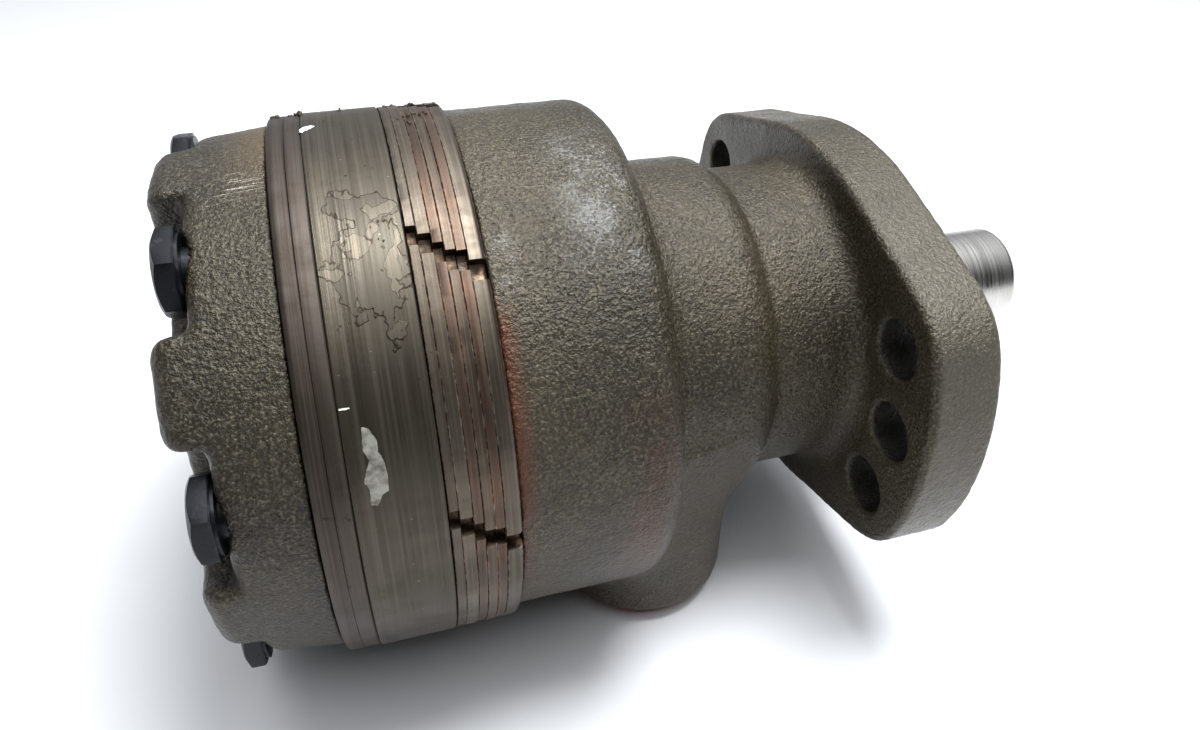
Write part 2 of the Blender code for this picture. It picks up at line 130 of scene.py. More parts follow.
def plate(outer, holes, levels):
    """Flat piece with holes; levels are (x, change of rim radius) from rear to front, and the rim change
    may be a function of the angle."""
    angle = [math.degrees(math.atan2(z, y)) % 360.0 for y, z in outer]
    radius = [math.hypot(y, z) for y, z in outer]

    def rim(change):
        out = []
        for a, r, (y, z) in zip(angle, radius, outer):
            d = change(a) if callable(change) else change
            out.append((y * (r + d) / r, z * (r + d) / r))
        return out

    n = len(outer)
    rims = [rim(change) for _, change in levels]
    verts = [(x, *p) for (x, _), loop in zip(levels, rims) for p in loop]
    faces = [(a * n + i, a * n + (i + 1) % n, (a + 1) * n + (i + 1) % n, (a + 1) * n + i)
             for a in range(len(levels) - 1) for i in range(n)]
    faces = [tuple(reversed(f)) for f in faces]
    starts = []
    x0, x1 = levels[0][0], levels[-1][0]
    for hole in holes:
        base, m = len(verts), len(hole)
        starts.append(base)
        verts += [(x0, *p) for p in hole] + [(x1, *p) for p in hole]
        faces += [(base + i, base + (i + 1) % m, base + m + (i + 1) % m, base + m + i)
                  for i in range(m)]

    def index(local, top):
        if local < n:
            return (len(levels) - 1) * n + local if top else local
        local -= n
        for hole, base in zip(holes, starts):
            if local < len(hole):
                return base + local + (len(hole) if top else 0)
            local -= len(hole)

    for top, loop in ((False, rims[0]), (True, rims[-1])):
        loops = [loop] + holes
        pts = [Vector(p) for part in loops for p in part]
        edges, start = [], 0
        for part in loops:
            edges += [(start + i, start + (i + 1) % len(part)) for i in range(len(part))]
            start += len(part)
        out = delaunay_2d_cdt(pts, edges, [], 0, 1e-7)
        source = [ids[0] for ids in out[3]]
        for face in out[2]:
            mid = sum((out[0][i] for i in face), Vector((0.0, 0.0))) / len(face)
            if inside(mid, loop) and not any(inside(mid, h) for h in holes):
                tri = [index(source[i], top) for i in face]
                faces.append(tuple(tri) if top else tuple(reversed(tri)))
    return verts, faces


def flip_check(obj):
    """Turn the mesh the right way out if its signed volume is negative."""
    mesh = obj.data
    mesh.calc_loop_triangles()
    co = np.empty(len(mesh.vertices) * 3, dtype=np.float32)
    mesh.vertices.foreach_get("co", co)
    co = co.reshape(-1, 3)
    tri = np.empty(len(mesh.loop_triangles) * 3, dtype=np.int32)
    mesh.loop_triangles.foreach_get("vertices", tri)
    a, b, c = (co[tri.reshape(-1, 3)[:, k]] for k in range(3))
    if float(np.einsum("ij,ij->i", a, np.cross(b, c)).sum()) < 0.0:
        mesh.flip_normals()


# ---- smooth solids from distance fields (cast pieces) --------------------------------------------------


def smin(a, b, k):
    h = np.maximum(k - np.abs(a - b), 0.0) / k
    return np.minimum(a, b) - h * h * k * 0.25


def smax(a, b, k):
    return -smin(-a, -b, k)


def drum(x, r, x0, x1, radius, left=0.0, right=0.0):
    """Distance to a cylinder along X whose two rims may be rounded."""
    def one(xx, lim, rad):
        dx, dr = xx - lim + rad, r - radius + rad
        return np.hypot(np.maximum(dx, 0), np.maximum(dr, 0)) + np.minimum(np.maximum(dx, dr), 0) - rad
    return np.maximum(one(x, x1, right), one(-x, -x0, left))


def lattice(p, seed):
    """Smooth value noise in -1..1 on numpy points."""
    i = np.floor(p).astype(np.int64)
    f = (p - i).astype(np.float32)
    f = f * f * (3 - 2 * f)

    def h(dx, dy, dz):
        n = (i[:, 0] + dx) * 374761393 + (i[:, 1] + dy) * 668265263 + (i[:, 2] + dz) * 1440662683
        n = (n + seed * 1013904223) & 0xFFFFFFFF
        n = ((n ^ (n >> 13)) * 1274126177) & 0xFFFFFFFF
        return ((n ^ (n >> 16)) & 0xFFFF).astype(np.float32) / 32767.5 - 1.0

    out = 0.0
    for dx in (0, 1):
        wx = f[:, 0] if dx else 1 - f[:, 0]
        for dy in (0, 1):
            wy = f[:, 1] if dy else 1 - f[:, 1]
            for dz in (0, 1):
                wz = f[:, 2] if dz else 1 - f[:, 2]
                out = out + wx * wy * wz * h(dx, dy, dz)
    return out


def surface(field, lo, hi, step, rough=()):
    """Quad mesh of field = 0 (surface nets, points pulled onto the surface), then roughened along the
    normal by noise given as (wavelength, height, seed)."""
    axes = [np.arange(a - step, b + 2 * step, step) for a, b in zip(lo, hi)]
    shape = [len(a) for a in axes]
    val = np.empty(shape, dtype=np.float32)
    for i0 in range(0, shape[0], 24):
        xs = axes[0][i0:i0 + 24]
        g = np.meshgrid(xs, axes[1], axes[2], indexing="ij")
        val[i0:i0 + len(xs)] = field(*(a.astype(np.float32) for a in g))
    neg = val < 0
    cells = [s - 1 for s in shape]
    count = np.zeros(cells, dtype=np.int8)
    for dx in (0, 1):
        for dy in (0, 1):
            for dz in (0, 1):
                count += neg[dx:dx + cells[0], dy:dy + cells[1], dz:dz + cells[2]]
    active = (count > 0) & (count < 8)
    where = np.argwhere(active)
    ident = np.full(cells, -1, dtype=np.int64)
    ident[active] = np.arange(len(where))
    corner = {}
    for dx in (0, 1):
        for dy in (0, 1):
            for dz in (0, 1):
                corner[dx, dy, dz] = val[where[:, 0] + dx, where[:, 1] + dy, where[:, 2] + dz]
    total = np.zeros((len(where), 3))
    hits = np.zeros(len(where))
    for axis in range(3):
        for u in (0, 1):
            for w in (0, 1):
                a, b = [u, w], [u, w]
                a.insert(axis, 0)
                b.insert(axis, 1)
                va, vb = corner[tuple(a)], corner[tuple(b)]
                cross = (va < 0) != (vb < 0)
                t = np.where(cross, va / np.where(cross, va - vb, 1), 0)
                p = np.repeat(np.array([a], dtype=float), len(where), 0)
                p[:, axis] = t
                total += p * cross[:, None]
                hits += cross
    pts = (where + total / hits[:, None]) * step + np.array([a[0] for a in axes])

    def gradient(q):
        d = 0.05
        g = np.empty_like(q)
        for axis in range(3):
            e = np.zeros(3)
            e[axis] = d
            g[:, axis] = (field(*(q + e).T) - field(*(q - e).T)) / (2 * d)
        return g

    for _ in range(2):
        g = gradient(pts)
        size = np.maximum((g * g).sum(1), 0.25)
        move = -(field(*pts.T) / size)[:, None] * g
        far = np.linalg.norm(move, axis=1, keepdims=True)
        pts += move * np.minimum(1.0, 0.6 * step / np.maximum(far, 1e-9))
    if rough:
        g = gradient(pts)
        g /= np.maximum(np.linalg.norm(g, axis=1, keepdims=True), 1e-6)
        lift = sum(height * lattice(pts / wave, seed) for wave, height, seed in rough)
        pts = pts + g * lift[:, None]
    quads = []
    for axis in range(3):
        a = [slice(1, s - 1) for s in shape]
        b = list(a)
        a[axis], b[axis] = slice(0, shape[axis] - 1), slice(1, shape[axis])
        va, vb = neg[tuple(a)], neg[tuple(b)]
        idx = np.argwhere(va != vb)
        enter = ~va[va != vb]
        off = [1, 1, 1]
        off[axis] = 0
        base = idx + np.array(off)
        u, w = [k for k in range(3) if k != axis]
        ring = []
        for du, dw in ((1, 1), (0, 1), (0, 0), (1, 0)):
            c = base.copy()
            c[:, u] -= du
            c[:, w] -= dw
            ring.append(ident[c[:, 0], c[:, 1], c[:, 2]])
        q = np.stack(ring, axis=1)
        turn = enter if axis != 1 else ~enter
        q[turn] = q[turn][:, ::-1]
        quads.append(q)
    return pts, np.concatenate(quads)


# ---- materials -----------------------------------------------------------------------------------------
class Nodes:
    """Small helper for building a Principled material out of procedural nodes."""

    def __init__(self, name):
        self.mat = bpy.data.materials.new(name)
        self.mat.use_nodes = True
        self.tree = self.mat.node_tree
        self.bsdf = self.tree.nodes["Principled BSDF"]
        self.coord = self.tree.nodes.new("ShaderNodeTexCoord").outputs["Object"]

    def link(self, value, socket):
        if hasattr(value, "is_output"):
            self.tree.links.new(value, socket)
        else:
            socket.default_value = value

    def add(self, kind, inputs, **props):
        node = self.tree.nodes.new(kind)
        for key, val in props.items():
            setattr(node, key, val)
        for key, val in inputs.items():
            self.link(val, node.inputs[key])
        return node.outputs[0]

    def mapped(self, scale=(1, 1, 1), offset=(0, 0, 0)):
        return self.add("ShaderNodeMapping", {"Vector": self.coord, "Scale": scale, "Location": offset})

    def noise(self, scale, detail=2.0, rough=0.5, vector=None):
        return self.add("ShaderNodeTexNoise", {
            "Vector": vector if vector is not None else self.coord, "Scale": scale, "Detail": detail,
            "Roughness": rough})

    def rim_noise(self, x, arc, detail, rough, layer=0.0):
        """Noise on the unrolled rim; x and arc are already scaled, layer picks another pattern."""
        return self.noise(1.0, detail, rough, vector=self.flat(x, arc, layer))

    def span(self, value, a, b, c=0.0, d=1.0):
        return self.add("ShaderNodeMapRange", {"Value": value, "From Min": a, "From Max": b,
                                               "To Min": c, "To Max": d}, interpolation_type="SMOOTHSTEP")

    def math(self, op, a, b=0.0):
        node = self.tree.nodes.new("ShaderNodeMath")
        node.operation = op
        self.link(a, node.inputs[0])
        self.link(b, node.inputs[1])
        return node.outputs[0]

    def plus(self, a, b):
        return self.math("ADD", a, b)

    def minus(self, a, b):
        return self.math("SUBTRACT", a, b)

    def times(self, a, b):
        return self.math("MULTIPLY", a, b)

    def gap(self, value, centre):
        """Distance between a value and a centre."""
        return self.math("ABSOLUTE", self.minus(value, centre))

    def length(self, a, b):
        return self.math("SQRT", self.plus(self.times(a, a), self.times(b, b)))

    def mix(self, fac, a, b):
        node = self.tree.nodes.new("ShaderNodeMix")
        node.data_type = "RGBA"
        self.link(fac, node.inputs[0])
        for v, s in ((a, node.inputs[6]), (b, node.inputs[7])):
            self.link((*v, 1.0) if isinstance(v, tuple) and len(v) == 3 else v, s)
        return node.outputs[2]

    def blendf(self, fac, a, b):
        node = self.tree.nodes.new("ShaderNodeMix")
        node.data_type = "FLOAT"
        self.link(fac, node.inputs[0])
        self.link(a, node.inputs[2])
        self.link(b, node.inputs[3])
        return node.outputs[0]

    def bump(self, height, distance, strength=1.0):
        node = self.tree.nodes.new("ShaderNodeBump")
        self.link(height, node.inputs["Height"])
        node.inputs["Distance"].default_value = distance
        node.inputs["Strength"].default_value = strength
        return node.outputs[0]

    def axis(self):
        """Object coordinates in metres: x, then y, z and distance measured from the shaft axis."""
        xyz = self.tree.nodes.new("ShaderNodeSeparateXYZ")
        self.tree.links.new(self.coord, xyz.inputs[0])
        y, z = xyz.outputs[1], self.minus(xyz.outputs[2], AXIS_Z * MM)
        return xyz.outputs[0], y, z, self.length(y, z)

    def unrolled(self):
        """Position on the rim laid flat: x along the shaft and arc length round it, both in millimetres."""
        x, y, z, _ = self.axis()
        x = self.minus(self.times(x, 1.0 / MM), JOINT_X)
        turn = self.math("ARCTAN2", z, y)
        turn = self.plus(turn, self.times(self.math("LESS_THAN", turn, -1.2), 2 * math.pi))
        return x, self.times(turn, RING_R)

    def flat(self, x, y, z=0.0):
        return self.add("ShaderNodeCombineXYZ", {"X": x, "Y": y, "Z": z})

    def finish(self, colour, rough, metallic=1.0, normal=None):
        for key, val in (("Base Color", colour), ("Roughness", rough), ("Metallic", metallic)):
            if isinstance(val, tuple) and len(val) == 3:
                val = (*val, 1.0)
            self.link(val, self.bsdf.inputs[key])
        if normal is not None:
            self.link(normal, self.bsdf.inputs["Normal"])
        return self.mat


def ring_mask(n, x, centre, width):
    """1 near a station along the shaft, fading to 0 over width (mm); x is in metres."""
    return n.span(n.gap(x, (centre + JOINT_X) * MM), 0.0, width * MM, 1.0, 0.0)


def joint_rust(n, x, z, colour):
    """Rust beside the manifold joint and, fainter, behind the drum's front edge."""
    joint_side = n.times(n.span(z, 0.052, 0.040), n.span(z, -0.035, 0.010))
    joint = n.times(ring_mask(n, x, 14.0, 5.5), joint_side)
    shoulder_side = n.times(n.span(z, 0.030, 0.010), n.span(z, -0.045, -0.020))
    shoulder = n.times(ring_mask(n, x, 42.0, 9.0), shoulder_side)
    near = n.plus(joint, n.times(shoulder, 0.4))
    speck = n.span(n.noise(55.0, 4.0, 0.7), 0.34, 0.56)
    return n.mix(n.times(near, speck), colour, (0.088, 0.027, 0.011))


def painted_glints(n, x, colour):
    """Painted highlight: bright glints painted into the colour on the upper edge of the drum and beside the
    notches.
    """
    x_mm, arc = n.unrolled()
    rim = n.times(n.span(x_mm, 27.0, 38.0), n.span(n.gap(arc, 127.0), 26.0, 12.0))
    rim = n.times(rim, n.span(x_mm, 50.0, 44.0))
    beside = n.times(ring_mask(n, x, 17.5, 3.5), n.span(n.gap(arc, 140.0), 9.0, 4.0))
    grain = n.plus(n.noise(1700.0, 3.0, 0.7), n.times(n.noise(70.0, 4.0, 0.7), 1.1))
    # painted highlight mask: where the bright glints are painted
    glint_mask = n.times(n.math("MAXIMUM", rim, beside), n.span(grain, 1.05, 1.20))
    return n.mix(n.times(glint_mask, 0.6), colour, (0.20, 0.202, 0.198))


def flange_painted_light_and_shade(n, x, y, z, radius, colour):
    """Painted light and shade: the flange's outer edge painted lighter as if lit, and the insides of the
    flange holes painted dark as shade.
    """
    # painted light: lighter colour on the flange's outer edge where the light falls
    rim = n.span(x, (103.0 + JOINT_X) * MM, (104.5 + JOINT_X) * MM)
    rim = n.times(rim, n.span(radius, 0.046, 0.054))
    colour = n.mix(n.times(rim, 0.35), colour, (0.15, 0.134, 0.105))
    # painted shade: the insides of the flange holes darkened nearly to black
    nearest = None
    for hy, hz in FLANGE_HOLES:
        away = n.length(n.minus(y, hy * MM), n.minus(z, hz * MM))
        nearest = away if nearest is None else n.math("MINIMUM", nearest, away)
    deep = n.span(x, (102.4 + JOINT_X) * MM, (103.4 + JOINT_X) * MM)
    bore = n.times(n.span(nearest, 0.0082, 0.0070), deep)
    return n.mix(n.times(bore, 0.85), colour, (0.006, 0.005, 0.004))


def cover_marks(n, colour):
    """Warm stain and scrape lines on the upper side of the end cover."""
    x, arc = n.unrolled()
    warm = n.times(n.span(x, -36.0, -25.0), n.span(arc, 125.0, 96.0))
    colour = n.mix(n.times(warm, 0.7), colour, (0.115, 0.082, 0.046))
    strokes = n.rim_noise(n.times(x, 0.09), n.times(arc, 2.3), 1.0, 0.4)
    zone = n.times(n.span(n.gap(x, -29.5), 5.5, 3.0), n.span(n.gap(arc, 112.0), 6.5, 3.0))
    scrape = n.times(n.span(strokes, 0.60, 0.68), zone)
    return n.mix(scrape, colour, (0.30, 0.27, 0.21))


def cast_iron(name, tint, housing):
    """Oiled raw casting: dark patches, light grain, dark pits, and the marks of the housing (rust, painted
    highlight glints, a painted-lit flange edge and painted shade in the flange holes) or the cover.
    """
    n = Nodes(name)
    grain = n.noise(1500.0, 3.0, 0.62)
    pits = n.noise(800.0, 2.0, 0.5)
    patch = n.noise(34.0, 4.0, 0.62)
    cloud = n.noise(9.0, 3.0, 0.5)
    dark = tuple(c * tint for c in (0.024, 0.0182, 0.0095))
    light = tuple(c * tint for c in (0.056, 0.0443, 0.0250))
    colour = n.mix(n.span(n.plus(patch, n.times(cloud, 0.6)), 0.55, 1.05), dark, light)
    colour = n.mix(n.span(grain, 0.50, 0.68, 0.0, 0.55), colour, (0.155, 0.131, 0.086))
    colour = n.mix(n.span(grain, 0.32, 0.50, 0.75, 0.0), colour, (0.008, 0.006, 0.004))
    if housing:
        x, y, z, radius = n.axis()
        colour = joint_rust(n, x, z, colour)
        # painted highlight: glints painted on the drum's upper edge and beside the notches
        colour = painted_glints(n, x, colour)
        colour = flange_painted_light_and_shade(n, x, y, z, radius, colour)
    else:
        colour = cover_marks(n, colour)
    sheen = n.noise(38.0, 3.0, 0.6)
    rough = n.span(n.plus(sheen, n.times(grain, 0.5)), 0.5, 0.95, 0.24, 0.42)
    height = n.plus(grain, n.times(pits, 0.8))
    return n.finish(colour, rough, 0.35, n.bump(height, 0.00045, 1.0))


def turned_steel(name, base, tint, groove, stain, rough=(0.28, 0.5), more=None):
    """Turned edge of a plate or ring: fine circumferential lines, oil stains, darker blotches."""
    n = Nodes(name)
    x, arc = n.unrolled()
    lines = n.noise(1.0, 2.0, 0.6, vector=n.mapped((1500.0, 14.0, 14.0)))
    wide = n.noise(1.0, 2.0, 0.5, vector=n.mapped((430.0, 9.0, 9.0), (3.1, 0.0, 0.0)))
    blot = n.noise(70.0, 5.0, 0.62, vector=n.mapped((0.6, 1.0, 1.0)))
    fine = n.noise(900.0, 3.0, 0.6)
    speck = n.noise(330.0, 4.0, 0.7)
    colour = n.mix(n.span(wide, 0.35, 0.65), base, tint)
    colour = n.mix(n.span(blot, 0.42, 0.62, 0.0, stain), colour, (0.032, 0.023, 0.015))
    colour = n.mix(n.span(lines, 0.40, 0.66, 0.0, 0.35), colour, tuple(min(1.0, c * 1.7) for c in base))
    colour = n.mix(n.span(speck, 0.66, 0.74, 0.0, 0.7), colour, (0.02, 0.014, 0.01))
    r = n.span(n.plus(blot, n.times(lines, 0.5)), 0.45, 1.0, *rough)
    height = n.plus(n.times(lines, groove), n.times(fine, 0.3))
    height = n.plus(height, n.times(wide, groove))
    if more:
        colour, r, height = more(n, x, arc, colour, r, height)
    return n.finish(colour, r, 0.8, n.bump(height, 0.00010, 0.8))


def brazed(start, end, copper):
    """Copper colour bled out of the joints at both faces of a lamination."""
    def more(n, x, arc, colour, r, height):
        near = n.math("MINIMUM", n.minus(x, start), n.minus(end, x))
        spread = n.rim_noise(n.times(x, 0.5), n.times(arc, 0.16), 4.0, 0.65)
        bleed = n.span(n.minus(near, n.times(spread, 1.3)), 0.0, -0.5)
        bleed = n.times(bleed, n.span(spread, 0.38, 0.62))
        glow = n.span(n.rim_noise(3.0, n.times(arc, 0.05), 2.0, 0.5), 0.40, 0.62, 0.15, 1.0)
        colour = n.mix(n.times(n.times(bleed, glow), copper), colour, (0.17, 0.088, 0.052))
        edge = n.span(near, 0.20, 0.05)
        broken = n.span(n.rim_noise(x, n.times(arc, 0.5), 3.0, 0.7), 0.45, 0.6)
        colour = n.mix(n.times(n.times(edge, broken), 0.6), colour, (0.42, 0.36, 0.30))
        return colour, r, height
    return more


def residue(n, x, arc, colour, r, height):
    """Grooved rear half and smoother front half of the ring, with torn label glue and scratches on it."""
    smooth_side = n.span(x, -10.2, -9.0)
    height = n.times(height, n.blendf(smooth_side, 1.5, 0.45))
    cloud = n.rim_noise(n.times(x, 0.12), n.times(arc, 0.07), 4.0, 0.6, 4.0)
    stain = n.times(smooth_side, n.span(cloud, 0.4, 0.65, 0.0, 0.75))
    colour = n.mix(stain, colour, (0.066, 0.056, 0.043))
    # glue: an oval area with a ragged edge, dark along its outline and along the seams inside it
    shape = n.rim_noise(n.times(x, 0.15), n.times(arc, 0.11), 3.0, 0.55, 9.0)
    dx = n.math("DIVIDE", n.plus(x, 7.6), 7.0)
    da = n.math("DIVIDE", n.minus(arc, 137.0), 15.0)
    field = n.minus(n.times(n.minus(shape, 0.5), 3.0), n.minus(n.length(dx, da), 0.95))
    covered = n.span(field, -0.02, 0.02)
    rim = n.span(n.math("ABSOLUTE", field), 0.05, 0.015)
    isle = n.rim_noise(n.times(x, 0.22), n.times(arc, 0.16), 2.0, 0.5, 2.0)
    seam = n.times(n.span(n.gap(isle, 0.55), 0.011, 0.003), covered)
    glue = n.mix(n.span(isle, 0.545, 0.555), (0.060, 0.052, 0.039), (0.088, 0.075, 0.055))
    colour = n.mix(n.times(covered, 0.7), colour, glue)
    colour = n.mix(n.times(n.math("MAXIMUM", rim, seam), 0.85), colour, (0.020, 0.014, 0.008))
    r = n.blendf(covered, r, 0.36)
    height = n.times(height, n.blendf(covered, 1.0, 0.6))
    height = n.plus(height, n.times(covered, 0.7))
    nick = n.rim_noise(n.times(x, 0.35), n.times(arc, 2.4), 2.0, 0.5, 7.0)
    colour = n.mix(n.span(nick, 0.745, 0.77, 0.0, 0.7), colour, (0.42, 0.39, 0.33))
    return colour, r, height


IRON = cast_iron("housing_iron", 1.0, housing=True)
COVER = cast_iron("cover_iron", 0.78, housing=False)
LAM_X = [(0.15, 2.04), (2.10, 4.59), (4.65, 6.64), (6.70, 8.69), (8.75, 10.74), (10.80, 14.05)]
PLATE = turned_steel("plate_edge", (0.068, 0.055, 0.045), (0.044, 0.033, 0.028), 0.4, 0.7, (0.40, 0.60))
RING = turned_steel("ring_edge", (0.074, 0.063, 0.047), (0.052, 0.043, 0.031), 0.9, 0.5, (0.34, 0.50),
                    residue)
LAMINA = [turned_steel(f"lamination_{k + 1}", c, t, 0.35, 0.6, more=brazed(*LAM_X[k], copper))
          for k, (c, t, copper) in enumerate((
              ((0.092, 0.076, 0.058), (0.062, 0.048, 0.036), 0.2),
              ((0.112, 0.092, 0.070), (0.078, 0.060, 0.044), 0.3),
              ((0.088, 0.060, 0.044), (0.068, 0.042, 0.030), 0.7),
              ((0.105, 0.080, 0.060), (0.074, 0.052, 0.038), 0.5),
              ((0.098, 0.068, 0.050), (0.076, 0.046, 0.033), 0.8),
              ((0.112, 0.094, 0.072), (0.080, 0.064, 0.049), 0.3)))]
# notch floors: copper braze colour, kept dark as painted shade in the notches
n = Nodes("braze_and_painted_shade_in_notch")
patchy = n.span(n.noise(240.0, 4.0, 0.65), 0.42, 0.6)
BRAZE_AND_SHADE = n.finish(n.mix(patchy, (0.030, 0.018, 0.010), (0.100, 0.062, 0.034)),
                 n.span(n.noise(400.0, 2.0, 0.5), 0.3, 0.7, 0.32, 0.55), 0.7,
                 n.bump(n.noise(700.0, 3.0, 0.6), 0.0002))
n = Nodes("bright_shaft")
lines = n.noise(1.0, 2.0, 0.6, vector=n.mapped((2600.0, 22.0, 22.0)))
smear = n.noise(60.0, 3.0, 0.5)
BRIGHT = n.finish(n.mix(n.span(smear, 0.4, 0.7), (0.62, 0.60, 0.57), (0.50, 0.48, 0.45)),
                  n.span(lines, 0.3, 0.7, 0.20, 0.36), 1.0, n.bump(lines, 0.00004, 0.5))
n = Nodes("black_oxide")
wear = n.noise(420.0, 4.0, 0.65)
SCREW = n.finish(n.mix(n.span(wear, 0.55, 0.72, 0.0, 0.5), (0.014, 0.015, 0.018), (0.05, 0.052, 0.056)),
                 n.span(wear, 0.3, 0.7, 0.30, 0.46), 0.75, n.bump(n.noise(1500.0, 3.0, 0.6), 0.00006, 0.6))
n = Nodes("red_plug_plastic")
RED = n.finish(n.mix(n.span(n.noise(90.0, 3.0, 0.5), 0.3, 0.7), (0.42, 0.012, 0.010), (0.56, 0.025, 0.018)),
               n.span(n.noise(300.0, 2.0, 0.5), 0.3, 0.7, 0.30, 0.42), 0.0,
               n.bump(n.noise(500.0, 2.0, 0.5), 0.00008, 0.4))
n = Nodes("hard_steel")
lines = n.noise(1.0, 2.0, 0.5, vector=n.mapped((1800.0, 20.0, 20.0)))
HARD = n.finish(n.mix(n.span(n.noise(50.0, 3.0, 0.5), 0.3, 0.7), (0.42, 0.42, 0.43), (0.33, 0.33, 0.34)),
                n.span(lines, 0.3, 0.7, 0.22, 0.34), 1.0)
n = Nodes("bronze_cage")
BRONZE = n.finish(n.mix(n.span(n.noise(80.0, 3.0, 0.5), 0.3, 0.7), (0.52, 0.34, 0.15), (0.40, 0.25, 0.10)),
                  n.span(n.noise(600.0, 2.0, 0.5), 0.3, 0.7, 0.30, 0.42), 1.0)
n = Nodes("seal_rubber_black")
RUBBER = n.finish(n.mix(n.noise(300.0, 3.0, 0.5), (0.018, 0.018, 0.018), (0.035, 0.034, 0.033)),
                  n.span(n.noise(500.0, 2.0, 0.5), 0.3, 0.7, 0.48, 0.62), 0.0,
                  n.bump(n.noise(900.0, 2.0, 0.5), 0.0001, 0.5))

# ---- housing casting -----------------------------------------------------------------------------------
WAIST_R, END_R, WAIST_Z, SLOPE = 70.6, 68.4, 48.6 - 70.0, 0.317
side = math.hypot(1.0, SLOPE)
NY, NZ = SLOPE / side, 1.0 / side
LINE = WAIST_R + NZ * WAIST_Z


def flange_outline(y, z):
    """2D distance to the lozenge: round ends, straight flanks, gently rounded waist."""
    ay, az = np.abs(y), np.abs(z)
    flank = NY * ay + NZ * az - LINE
    waist = np.hypot(ay, az - WAIST_Z) - WAIST_R
    flank = np.where(NZ * ay - NY * (az - WAIST_Z) < 0, waist, flank)
    ends = np.hypot(ay, az) - END_R
    return smax(flank, ends, 7.0)


def housing_field(x, y, z):
    r = np.hypot(y, z)
    body = drum(x, r, HOUSING_REAR, 50.9, 61.2, 0.3, 6.6)
    neck1 = drum(x, r, 20.0, 81.5, 44.5, 0.0, 9.0) + 0.012 * np.maximum(x - 64, 0)
    neck2 = drum(x, r, 20.0, 108.0, 40.1)
    d = smin(body, neck1, 9.0)
    d = smin(d, neck2, 1.2)
    bosses = None
    for s in (-1.0, 1.0):
        q = np.hypot(x - PORT_X, y - s * PORT_Y) - 23.0
        tip = -z - 62.4
        one = np.hypot(np.maximum(q + 3.0, 0), np.maximum(tip + 3.0, 0)) + np.minimum(
            np.maximum(q + 3.0, tip + 3.0), 0) - 3.0
        one = np.maximum(one, z + 8.0)
        bosses = one if bosses is None else smin(bosses, one, 3.0)
    d = smin(d, bosses, 9.0)
    edge = 1.7
    fl = flange_outline(y, z) + edge
    fx = np.abs(x - 110.6) - 8.4 + edge
    fl = np.hypot(np.maximum(fl, 0), np.maximum(fx, 0)) + np.minimum(np.maximum(fl, fx), 0) - edge
    d = smin(d, fl, 6.0)
    d = np.maximum(d, HOUSING_REAR - x)
    for hy, hz in FLANGE_HOLES:
        hole = np.where(x > 95.0, FLANGE_HOLE_R - np.hypot(y - hy, z - hz), -9.0)
        d = smax(d, hole, 1.6)
    bore = np.where(x < 76, 30.0, np.where(x < 99.3, 24.0, np.where(x < 108, 20.0, np.where(
        x < 110.2, 17.5, 21.0)))) - r
    d = np.maximum(d, bore)
    for s in (-1.0, 1.0):
        port = np.where(z < -20, 11.0 - np.hypot(x - PORT_X, y - s * PORT_Y), -9.0)
        d = smax(d, port, 1.0)
    return d


pts, quads = surface(housing_field, (13.0, -69.0, -64.0), (120.5, 69.0, 62.5), FINE,
                     ((8.0, 0.10, 3), (2.6, 0.05, 5), (1.35, 0.085, 8)))
face = pts[:, 0] < 14.9
pts[face, 0] = np.maximum(pts[face, 0], HOUSING_REAR)
piece("housing_casting", pts, quads, IRON, "motor_body", ("housing",), None)

# ---- end cover casting ---------------------------------------------------------------------------------


def cover_field(x, y, z):
    r = np.hypot(y, z)
    outer = r + 0.11 * np.maximum(-24.3 - x, 0)
    d = drum(-x, outer, 20.0, 47.7, 61.4, 0.0, 4.1)
    d = np.maximum(d, x - COVER_FRONT)
    cut = None
    for a in bolt_angles:
        c, s = math.cos(math.radians(a)), math.sin(math.radians(a))
        u, w = y * c + z * s - BOLT_CIRCLE, -y * s + z * c
        q = np.where(u < 0, np.hypot(u, w), np.abs(w)) - 15.0
        wall = smax(q, x + 40.4, 2.4)
        cut = wall if cut is None else np.minimum(cut, wall)
        d = np.maximum(d, np.where(x > -42.0, 5.6 - np.hypot(u, w), -9.0))
    return smax(d, -cut, 3.2)


pts, quads = surface(cover_field, (-49.0, -62.0, -62.0), (-23.2, 62.0, 62.0), FINE,
                     ((9.0, 0.12, 13), (2.6, 0.055, 15), (1.35, 0.09, 18)))
face = pts[:, 0] > -24.9
pts[face, 0] = np.minimum(pts[face, 0], COVER_FRONT)
piece("cover_casting", pts, quads, COVER, "motor_body", ("end_cover",), None)

# ---- plates, ring and manifold -------------------------------------------------------------------------
RIM = 420
rng = np.random.default_rng(4)
bolt_holes = [circle(5.6, 20, c) for c in bolt_centres]


def wobble(seed, height, waves=(3, 7, 17, 41)):
    """Small rim change as a smooth function of the angle."""
    local = np.random.default_rng(seed)
    terms = [(w, local.uniform(0, 6.28), height / (1 + 0.4 * i)) for i, w in enumerate(waves)]
    return lambda a: sum(h * math.sin(math.radians(a) * w + p) for w, p, h in terms)


def worn(base, seed, height=0.012):
    wave = wobble(seed, height)
    return lambda a: base + wave(a)


